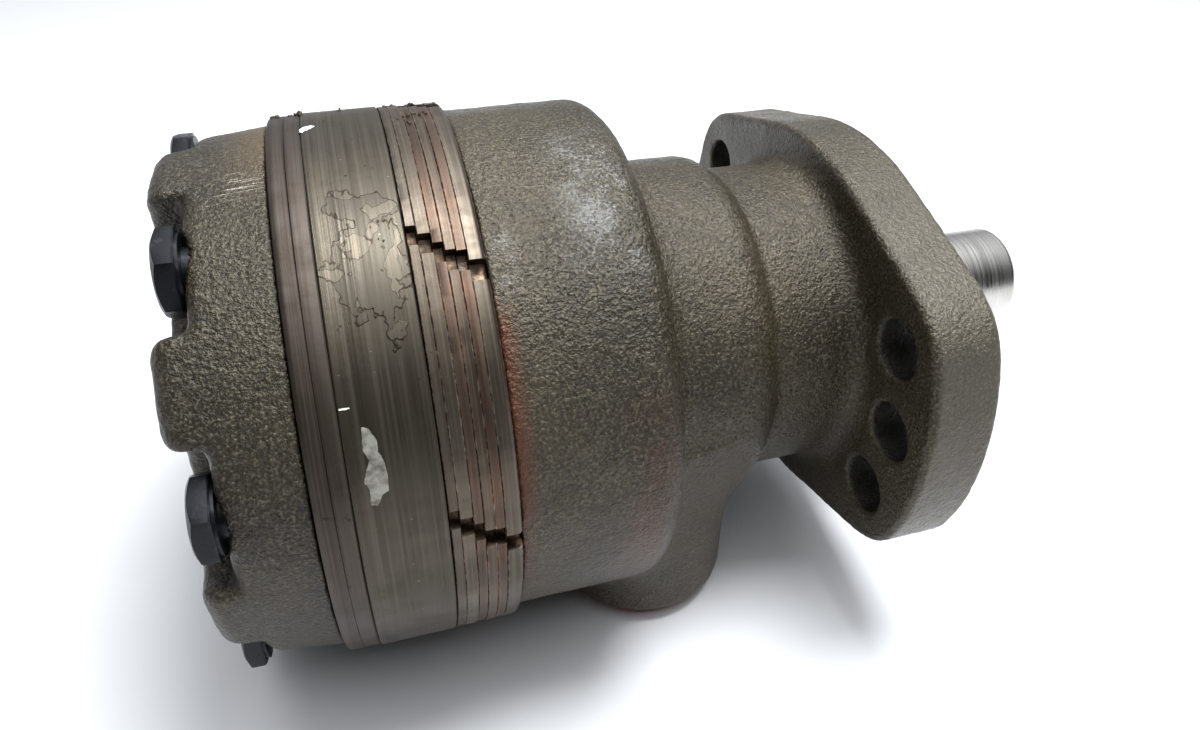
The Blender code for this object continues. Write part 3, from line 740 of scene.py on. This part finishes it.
x0, x1 = -24.0, -20.42
levels = [(x0, worn(-0.75, 1)), (x0 + 0.25, worn(-0.32, 2)), (x0 + 0.7, worn(-0.06, 3)),
          (x0 + 1.2, worn(0.0, 3)), (x1 - 0.12, worn(0.0, 3)), (x1, worn(-0.1, 4))]
v, f = plate(circle(PLATE_R, RIM), bolt_holes, levels)
flip_check(piece("balance_plate_fine", v, f, PLATE, "motor_body", ("balance_plate",), 30))
x0, x1 = -20.36, -17.0
levels = [(x0, worn(-0.1, 5)), (x0 + 0.12, worn(0.0, 5)), (x1 - 0.3, worn(0.0, 5)), (x1, worn(-0.22, 6))]
v, f = plate(circle(PLATE_R, RIM), bolt_holes + [circle(12.2, 48)], levels)
flip_check(piece("wear_plate_fine", v, f, PLATE, "motor_body", ("wear_plate",), 30))

# stator ring: the rim carries coarse turned grooves on its rear half and a smooth band in front
pocket_edge = []
for i in range(STATIONS):
    a = 90.0 + STEP * i
    c = polar(39.5, a)
    pocket_edge += [polar(7.3, a - 90.0 + 180.0 * k / 16, c) for k in range(17)]
    pocket_edge += [polar(39.4, a + STEP * q) for q in (0.34, 0.42, 0.5, 0.58, 0.66)]
levels = [(-16.85, -0.25), (-16.6, -0.02)]
x = -16.3
while x < -0.6:
    deep = 0.055 if x < -10.5 else (0.03 if x < -7.0 else 0.012)
    levels += [(x, worn(-deep * float(rng.uniform(0.2, 1.0)), 7, 0.006)), (x + 0.22, worn(0.0, 7, 0.006))]
    x += float(rng.uniform(0.34, 0.62))
levels += [(-0.4, worn(0.0, 7, 0.006)), (-0.15, -0.25)]
v, f = plate(circle(RING_R, RIM), bolt_holes + [pocket_edge], levels)
flip_check(piece("stator_ring_fine", v, f, RING, "motor_body", ("stator_ring",), 30))

NOTCH_SHIFT = (0.0, 1.9, 3.8, 5.6, 5.9, 8.0)
NOTCH_ANGLE, NOTCH_HALF, NOTCH_R = 120.3, 1.95, 60.7
NOTCH_WALL = ((0.0, LAMINATION_R), (0.05, 62.9), (0.1, NOTCH_R + 0.2))


def lamination_outline(shift):
    """Round rim with seven locating notches."""
    floor_points = [(-NOTCH_HALF / 2, NOTCH_R), (0.0, NOTCH_R), (NOTCH_HALF / 2, NOTCH_R)]
    down_wall = [(-NOTCH_HALF + off, r) for off, r in NOTCH_WALL]
    up_wall = [(NOTCH_HALF - off, r) for off, r in reversed(NOTCH_WALL)]
    plain = STEP - 2 * NOTCH_HALF
    edge = []
    for i in range(STATIONS):
        a = NOTCH_ANGLE + shift + STEP * i
        edge += [polar(r, a + off) for off, r in down_wall + floor_points + up_wall]
        edge += [polar(LAMINATION_R, a + NOTCH_HALF + plain * q / 48) for q in range(1, 48)]
    return edge


def lamination_windows(k):
    windows = []
    for i in range(STATIONS):
        a = 90.0 + STEP * i + 2.2 * (k - 2.5)
        corners = ((33.0, -4.5), (38.5, -3.9), (38.5, 3.9), (33.0, 4.5))
        windows.append([polar(r, a + off) for r, off in corners])
    return windows


for k, (x0, x1) in enumerate(LAM_X):
    base = (0.0, 0.10, -0.14, 0.06, -0.08, 0.0)[k]
    if k == 5:
        levels = [(x0, worn(-0.12, 20)), (x0 + 0.12, worn(0.0, 21)), (x1 - 1.0, worn(0.0, 21)),
                  (x1 - 0.55, worn(-0.14, 21)), (x1 - 0.2, worn(-0.42, 21)), (x1, worn(-0.8, 21))]
    else:
        levels = [(x0, worn(base - 0.14, 30 + k, 0.03)), (x0 + 0.14, worn(base, 40 + k, 0.02)),
                  (x1 - 0.14, worn(base, 40 + k, 0.02)), (x1, worn(base - 0.16, 50 + k, 0.03))]
    holes = bolt_holes + lamination_windows(k) + [circle(18.5, 48)]
    v, f = plate(lamination_outline(NOTCH_SHIFT[k]), holes, levels)
    leaf = piece(f"lamination_{k + 1}", v, f, LAMINA[k], "motor_body", (f"manifold_plate_{k + 1}",),
                 30)
    flip_check(leaf)
    # the notch floors get the braze material, whose dark tone is partly painted shade
    leaf.data.materials.append(BRAZE_AND_SHADE)
    for poly in leaf.data.polygons:
        radius = math.hypot(poly.center.y, poly.center.z - AXIS_Z * MM) / MM
        if len(poly.vertices) == 4 and 60.0 < radius < 62.6:
            poly.material_index = 1

# ---- small things stuck on the rims -------------------------------------------------------------------


def on_rim(x, deg, r):
    return (x, *polar(r, deg))


def shell(name, outline, lift, thick, mat, spacing=0.35, radius=RING_R):
    """Thin closed flake on the ring. Its outline is in (x, degrees) and lift(x, degrees) is its height
    above the rim."""
    loop = [(x, math.radians(a) * radius) for x, a in outline]
    fine = []
    for (x0, s0), (x1, s1) in zip(loop, loop[1:] + loop[:1]):
        steps = max(1, round(math.hypot(x1 - x0, s1 - s0) / spacing))
        fine += [(x0 + (x1 - x0) * k / steps, s0 + (s1 - s0) * k / steps) for k in range(steps)]
    jitter = np.random.default_rng(len(fine))
    fine = [(x + jitter.uniform(-0.07, 0.07), t + jitter.uniform(-0.07, 0.07)) for x, t in fine]
    xs, ts = [p[0] for p in fine], [p[1] for p in fine]
    inner = [(x, t) for x in np.arange(min(xs), max(xs), spacing)
             for t in np.arange(min(ts), max(ts), spacing) if inside((x, t), fine)]
    pts = [Vector(p) for p in fine + inner]
    edges = [(i, (i + 1) % len(fine)) for i in range(len(fine))]
    out = delaunay_2d_cdt(pts, edges, [], 1, 1e-6)
    flat = [(p.x, math.degrees(p.y / radius)) for p in out[0]]
    count = len(flat)
    top = [on_rim(x, a, radius + lift(x, a)) for x, a in flat]
    low = [on_rim(x, a, radius + lift(x, a) - thick) for x, a in flat]
    faces = [tuple(f) for f in out[2]] + [tuple(i + count for i in reversed(f)) for f in out[2]]
    sides = {(i, j): True for f in out[2] for i, j in zip(f, f[1:] + f[:1])}
    for i, j in sides:
        if (j, i) not in sides:
            faces.append((j, i, i + count, j + count))
    flip_check(piece(name, top + low, faces, mat, "motor_body", (), 40))


n = Nodes("peeled_paper")
PAPER = n.finish(n.mix(n.span(n.noise(300.0, 4.0, 0.65), 0.35, 0.62), (0.11, 0.10, 0.08), (0.34, 0.33, 0.29)),
                 n.span(n.noise(500.0, 2.0, 0.5), 0.3, 0.7, 0.35, 0.6), 0.35,
                 n.bump(n.noise(600.0, 3.0, 0.6), 0.0001))
n = Nodes("white_paint")
CHALK = n.finish(n.mix(n.noise(400.0, 3.0, 0.5), (0.74, 0.75, 0.76), (0.86, 0.87, 0.88)), 0.5, 0.0,
                 n.bump(n.noise(800.0, 2.0, 0.5), 0.0001))
n = Nodes("dry_dirt")
DIRT = n.finish(n.mix(n.noise(900.0, 3.0, 0.6), (0.030, 0.022, 0.012), (0.10, 0.075, 0.045)),
                n.span(n.noise(900.0, 2.0, 0.5), 0.3, 0.7, 0.7, 0.9), 0.0,
                n.bump(n.noise(1500.0, 3.0, 0.6), 0.0003))
FLAKE = ((-13.2, 151.5), (-12.1, 151.9), (-10.9, 154.1), (-10.9, 156.0), (-10.1, 158.0), (-9.9, 160.6),
         (-10.1, 163.1), (-11.4, 163.7), (-12.4, 165.6), (-13.7, 165.2), (-13.4, 162.4), (-14.2, 161.0),
         (-13.5, 158.8), (-12.7, 157.2), (-13.6, 155.4))
FLECK = ((-17.0, 87.6), (-16.2, 86.4), (-14.6, 85.8), (-13.9, 86.4), (-14.8, 87.6), (-15.9, 88.4),
         (-16.6, 89.3), (-17.0, 88.9))
TICK = ((-16.6, 148.0), (-14.7, 148.0), (-14.7, 148.25), (-16.6, 148.3))


def curl(x, a):
    """Height of the flake: it lifts off towards the front."""
    return 0.10 + 0.030 * max(0.0, x + 12.2) ** 2 + 0.05 * math.sin(a * 1.9 + x)


shell("peeled_flake", FLAKE, curl, 0.05, PAPER)
shell("paint_fleck", FLECK, lambda x, a: 0.12, 0.10, CHALK)
shell("scratch_tick", TICK, lambda x, a: 0.04, 0.05, CHALK, 0.2)


def crumbs(name, spots, seed):
    """Irregular crumbs of dried dirt: (x, degrees, rim radius, size) each."""
    local = np.random.default_rng(seed)
    rows, cols = 6, 8
    verts, faces = [], []
    for x, a, r, size in spots:
        base = len(verts)
        squash = local.uniform(0.55, 1.3, 3)
        centre = np.array(on_rim(x, a, r + size * 0.35))
        for i in range(rows + 1):
            for j in range(1 if i in (0, rows) else cols):
                th, ph = math.pi * i / rows, 2 * math.pi * j / cols
                out = np.array((math.sin(th) * math.cos(ph), math.sin(th) * math.sin(ph), math.cos(th)))
                verts.append(tuple(centre + out * size * (1 + local.uniform(-0.28, 0.28)) * squash))
        last = base + 1 + (rows - 1) * cols
        starts = [base + 1 + i * cols for i in range(rows - 1)]
        for j in range(cols):
            k = (j + 1) % cols
            faces.append((base, starts[0] + j, starts[0] + k))
            faces.append((last, starts[-1] + k, starts[-1] + j))
            faces += [(a0 + j, b0 + j, b0 + k, a0 + k) for a0, b0 in zip(starts, starts[1:])]
    flip_check(piece(name, verts, faces, DIRT, "motor_body", (), 50))


# x, angle, rim radius, how many, size
HEAPS = ((-22.6, 73.5, 63.1, 5, 0.42), (-18.7, 73.0, 63.1, 4, 0.36), (-16.9, 74.0, 63.3, 3, 0.5),
         (-8.6, 73.0, 63.5, 4, 0.30), (-12.0, 84.0, 63.5, 3, 0.14), (4.6, 84.5, 63.3, 4, 0.34),
         (8.9, 84.0, 63.3, 4, 0.40), (5.2, 88.0, 63.3, 3, 0.22), (12.5, 74.0, 63.2, 3, 0.30),
         (2.0, 72.0, 63.3, 4, 0.30), (7.0, 72.0, 63.3, 4, 0.34), (-5.0, 103.0, 63.5, 2, 0.16),
         (-4.4, 121.0, 63.5, 2, 0.18), (-13.5, 134.0, 63.5, 3, 0.16), (2.2, 141.0, 63.2, 2, 0.2))
spots = []
for x, a, r, many, size in HEAPS:
    for _ in range(many):
        spots.append((x + float(rng.normal(0, 0.7)), a + float(rng.normal(0, 1.0)), r,
                      size * float(rng.uniform(0.6, 1.25))))
crumbs("dirt_crumbs", spots, 21)

# ---- cap screws ----------------------------------------------------------------------------------------
HEAD_TURN = (11.0, 4.0, 22.0, 9.0, -8.0, 5.0, 16.0)
APOTHEM, HEAD_HEIGHT, SEAT = 8.1, 4.8, -40.7
CHAMFER_R, SHANK_R, THREAD_END = APOTHEM * 0.93, 4.8, 35.5
SCREW_POINTS = 96


def hexagon(k):
    """Radius of the head's outline at point k, with the corners rounded off."""
    t = (360.0 * k / SCREW_POINTS + 30.0) % 60.0 - 30.0
    return min(APOTHEM / math.cos(math.radians(t)), APOTHEM * 1.145)


for i, (a, c) in enumerate(zip(bolt_angles, bolt_centres)):
    phase = a + HEAD_TURN[i]

    def ring(x, radius):
        points = []
        for k in range(SCREW_POINTS):
            here = x(k) if callable(x) else x
            reach = radius(k) if callable(radius) else radius
            points.append((here, *polar(reach, phase + 360.0 * k / SCREW_POINTS, c)))
        return points

    top = SEAT - HEAD_HEIGHT
    rings = [ring(top + 0.35, 2.0), ring(top + 0.22, CHAMFER_R - 1.6), ring(top, CHAMFER_R - 1.0),
             ring(top, CHAMFER_R - 0.15),
             ring(lambda k: top + 0.05 + (hexagon(k) - CHAMFER_R) * 0.55,
                  lambda k: CHAMFER_R + (hexagon(k) - CHAMFER_R) * 0.93),
             ring(lambda k: top + 0.25 + (hexagon(k) - CHAMFER_R) * 0.60, hexagon),
             ring(SEAT - 0.95, hexagon), ring(SEAT - 0.62, lambda k: hexagon(k) - 0.25),
             ring(SEAT - 0.6, APOTHEM * 0.95), ring(SEAT, APOTHEM * 0.95),
             ring(SEAT, SHANK_R), ring(THREAD_END - 1.0, SHANK_R), ring(THREAD_END, SHANK_R - 1.0)]
    v, f = loft(rings)
    flip_check(piece(f"screw_{i + 1}", v, f, SCREW, "motor_body", (f"cap_screw_{i + 1}",), 28))

# ---- output shaft --------------------------------------------------------------------------------------


def subtract(obj, verts, faces):
    """Boolean difference with a closed mesh given in axis millimetres, applied at once."""
    mesh = bpy.data.meshes.new("cutter")
    mesh.from_pydata([((x + JOINT_X) * MM, y * MM, (z + AXIS_Z) * MM) for x, y, z in verts], [], faces)
    cutter = bpy.data.objects.new("cutter", mesh)
    bpy.context.scene.collection.objects.link(cutter)
    flip_check(cutter)
    mod = obj.modifiers.new("cut", "BOOLEAN")
    mod.operation, mod.object, mod.solver = "DIFFERENCE", cutter, "EXACT"
    done = bpy.data.meshes.new_from_object(obj.evaluated_get(bpy.context.evaluated_depsgraph_get()))
    obj.modifiers.clear()
    obj.data = done
    bpy.data.objects.remove(cutter)


profile = [(17.7, 23.4), (18.3, 24.0), (30.0, 24.0), (30.3, 27.0), (37.7, 27.0), (38.0, 24.8), (44.0, 24.8),
           (44.3, 27.0), (51.7, 27.0), (52.0, 24.8), (58.0, 24.8), (58.3, 27.0), (67.6, 27.0), (68.0, 26.6),
           (68.0, 16.5), (99.0, 16.5), (99.6, 15.3), (100.2, 14.8), (117.6, 14.8), (118.0, 14.6),
           (119.2, 13.65), (166.5, 13.65), (167.0, 13.52), (167.6, 13.1), (168.0, 12.5), (168.0, 3.2),
           (166.2, 1.4)]
v, f = loft([[(x, *p) for p in circle(r, 128)] for x, r in profile])
shaft = piece("shaft_ground", v, f, BRIGHT, "shaft", ("output_shaft",), None)
flip_check(shaft)
# internal serration for the drive link
TEETH = 24


def tooth_ring(x, outer, inner):
    return [(x, *polar(inner if i % 2 else outer, 360.0 * i / TEETH)) for i in range(TEETH)]


v, f = loft([tooth_ring(15.0, 16.0, 16.0), tooth_ring(41.0, 16.0, 16.0), tooth_ring(41.0, 14.4, 12.3),
             tooth_ring(61.0, 14.4, 12.3)])
subtract(shaft, v, f)
# keyway, with its ends rounded in steps
spin = Matrix.Rotation(math.radians(-135.0), 3, "X")
keyway = []
for x, half in ((132.0, 1.6), (133.0, 3.1), (134.6, 3.5), (159.4, 3.5), (161.0, 3.1), (162.0, 1.6)):
    corners = ((-half, 10.2), (half, 10.2), (half, 20.0), (-half, 20.0))
    keyway.append([tuple(spin @ Vector((x, y, z))) for y, z in corners])
v, f = loft(keyway)
subtract(shaft, v, f)
shaft.data.shade_smooth()
shaft.data.set_sharp_from_angle(angle=math.radians(28))

# ---- finishes for carried-over CAD nodes ----------------------------------------------------------------
carried = (
    (HARD, ("shaft_key", "thrust_washer_shaft", "drive_spacer", "rotor", "drive_link", "rear_bearing_cup",
            "thrust_washer_housing", "front_bearing_cup", "seal_backup_washer")),
    (HARD, [f"roller_{i + 1}" for i in range(STATIONS)]),
    (BRONZE, ("rear_bearing_cage", "thrust_bearing_cage", "front_bearing_cage")),
    (RUBBER, ("shaft_seal", "dust_seal", "body_seal_rear", "body_seal_front")),
    (SCREW, ("retaining_ring",)),
    (RED, ("port_plug_1", "port_plug_2")))
for mat, names in carried:
    for node in names:
        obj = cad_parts[node]
        if not obj.material_slots:
            obj.data.materials.append(mat)
        for place in obj.material_slots:
            place.material = mat

# ---- floor, light, camera ------------------------------------------------------------------------------
n = Nodes("paper_floor")
FLOOR = n.finish(n.mix(n.noise(3.0, 2.0, 0.5), (0.660, 0.662, 0.670), (0.640, 0.642, 0.652)), 0.75, 0.0,
                 n.bump(n.noise(400.0, 3.0, 0.6), 0.0001, 0.2))
mesh = bpy.data.meshes.new("floor")
HALF = 3.0
corners = [(-HALF, -HALF, 0), (HALF, -HALF, 0), (HALF, HALF, 0), (-HALF, HALF, 0)]
mesh.from_pydata(corners, [], [(0, 1, 2, 3)])
mesh.materials.append(FLOOR)
floor = bpy.data.objects.new("floor", mesh)
bpy.context.scene.collection.objects.link(floor)

world = bpy.data.worlds.new("studio")
bpy.context.scene.world = world
world.use_nodes = True
# the sky is bright above and behind the motor, and dark on the camera's side
tree = world.node_tree
direction = tree.nodes.new("ShaderNodeTexCoord").outputs["Generated"]
split = tree.nodes.new("ShaderNodeSeparateXYZ")
tree.links.new(direction, split.inputs[0])
lift = tree.nodes.new("ShaderNodeMath")
lift.operation = "MULTIPLY_ADD"
tree.links.new(split.outputs["Y"], lift.inputs[0])
lift.inputs[1].default_value = 0.55
tree.links.new(split.outputs["Z"], lift.inputs[2])
fade = tree.nodes.new("ShaderNodeMapRange")
fade.interpolation_type = "SMOOTHSTEP"
tree.links.new(lift.outputs[0], fade.inputs["Value"])
fade.inputs["From Min"].default_value, fade.inputs["From Max"].default_value = 0.0, 0.95
fade.inputs["To Min"].default_value, fade.inputs["To Max"].default_value = 0.03, 0.70
tree.links.new(fade.outputs[0], tree.nodes["Background"].inputs["Strength"])
tree.nodes["Background"].inputs["Color"].default_value = (0.92, 0.95, 1.0, 1.0)


def area(name, where, size, power):
    """Cool soft light that faces the motor."""
    data = bpy.data.lights.new(name, "AREA")
    data.shape, data.size, data.size_y = "RECTANGLE", size[0], size[1]
    data.energy, data.color = power, (0.94, 0.97, 1.0)
    obj = bpy.data.objects.new(name, data)
    bpy.context.scene.collection.objects.link(obj)
    obj.location = where
    aim = Vector((0.0, 0.0, 0.05)) - Vector(where)
    obj.rotation_euler = aim.to_track_quat("-Z", "Y").to_euler()


area("sky_panel", (0.14, 0.0, 1.0), (1.5, 1.2), 13.0)
area("window", (0.17, -0.04, 0.92), (0.32, 0.36), 11.5)

cam_data = bpy.data.cameras.new("camera")
cam_data.sensor_width = 36.0
cam_data.lens = 27.3
cam_data.shift_y = -0.0437
cam_data.clip_start = 0.01
cam = bpy.data.objects.new("camera", cam_data)
bpy.context.scene.collection.objects.link(cam)
right = Vector((0.95756, -0.28759, 0.01904))
down = Vector((-0.14716, -0.54464, -0.82566))
ahead = right.cross(down).normalized()
down = ahead.cross(right).normalized()
turn = Matrix((right.normalized(), -down, -ahead)).transposed()
seat = Vector((-9.600 + JOINT_X, -185.762, 140.302 + AXIS_Z)) * MM
cam.matrix_world = Matrix.Translation(seat) @ turn.to_4x4()
bpy.context.scene.camera = cam
bpy.context.scene.view_settings.view_transform = "Standard"
